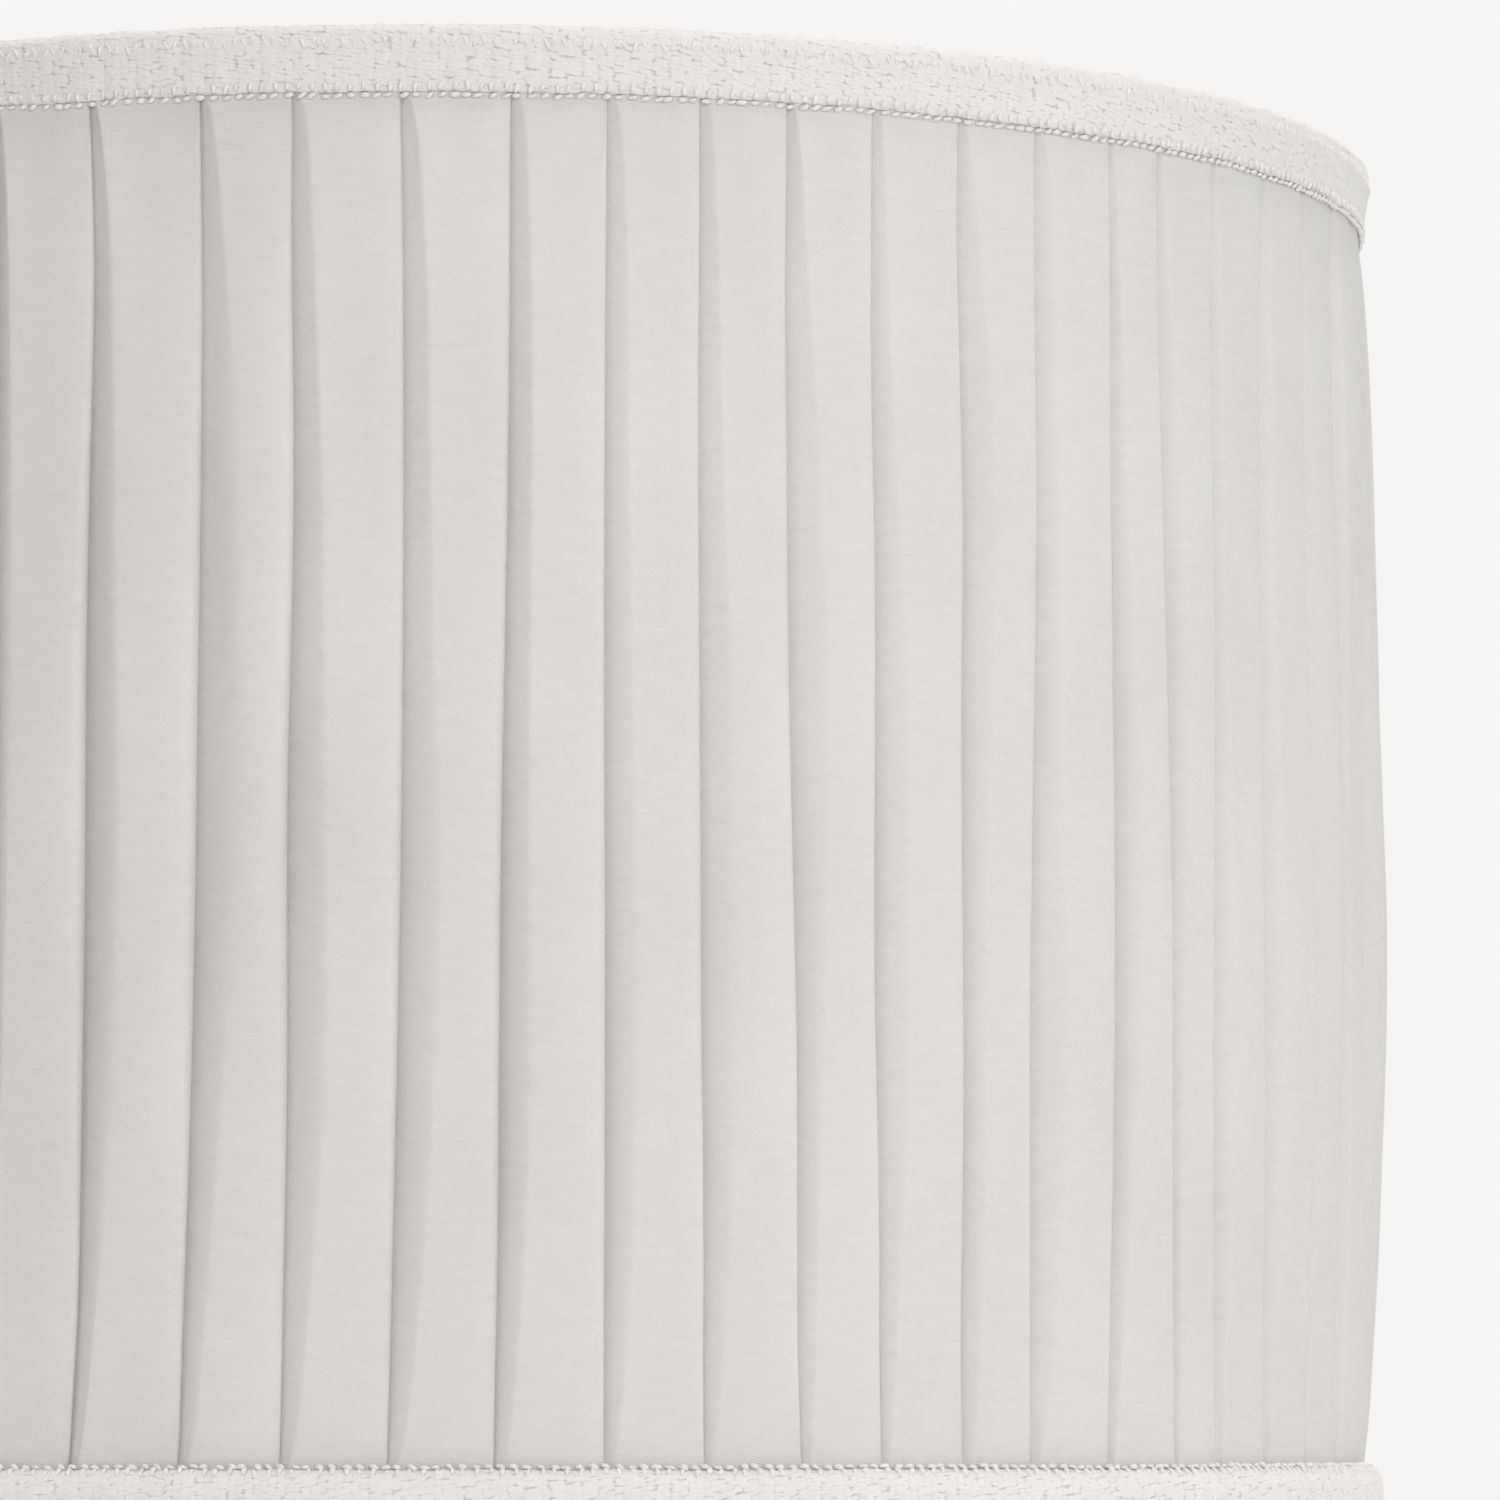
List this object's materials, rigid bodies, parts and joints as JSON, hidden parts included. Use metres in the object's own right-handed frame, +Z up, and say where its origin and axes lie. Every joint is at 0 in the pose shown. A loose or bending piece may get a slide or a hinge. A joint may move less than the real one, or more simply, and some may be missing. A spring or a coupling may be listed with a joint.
{
  "type": "lamp shade",
  "caption": "Knife-pleated fabric drum lamp shade on a wire frame, with woven tape round both rims, a cloth lining and a recessed three-arm fitter with a lift-out reducer ring.",
  "frame": {"origin": "centre of the lower rim's underside, which the shade stands on", "axes": "+Z up along the shade's axis, through the lampholder bore; one fitter arm points along +Y, to the back; the front is -Y"},
  "size_m": [0.3018, 0.3018, 0.22],
  "materials": {
    "frame_enamel": "semi-gloss white enamel on steel wire",
    "fitter_enamel": "semi-gloss white enamel on pressed steel",
    "reducer_plastic": "fine satin moulded plastic",
    "binding_cotton": "plain-weave cotton tape",
    "lining_cloth": "smooth matt lining cloth",
    "pleated_cloth": "fine twill with a slight satin sheen",
    "trim_tape": "coarse woven tape with looped edges"
  },
  "bodies": {
    "shade": {"top_ring": "frame_enamel", "bottom_ring": "frame_enamel", "strut_1": "frame_enamel", "strut_2": "frame_enamel", "strut_3": "frame_enamel", "strut_4": "frame_enamel", "strut_5": "frame_enamel", "strut_6": "frame_enamel", "fitter_ring": "fitter_enamel", "fitter_arm_1": "fitter_enamel", "fitter_arm_2": "fitter_enamel", "fitter_arm_3": "fitter_enamel", "top_ring_binding": "binding_cotton", "bottom_ring_binding": "binding_cotton", "lining_1": "lining_cloth", "lining_2": "lining_cloth", "arm_cover_1": "lining_cloth", "arm_cover_2": "lining_cloth", "arm_cover_3": "lining_cloth", "pleated_cover": "pleated_cloth", "top_trim": "trim_tape", "bottom_trim": "trim_tape"},
    "reducer": {"reducer_ring": "reducer_plastic"}
  },
  "joints": [
    {"name": "reducer_lift", "type": "slide", "parent": "shade", "child": "reducer", "axis": [0, 0, 1], "range_m": [0, 0.06]}
  ]
}
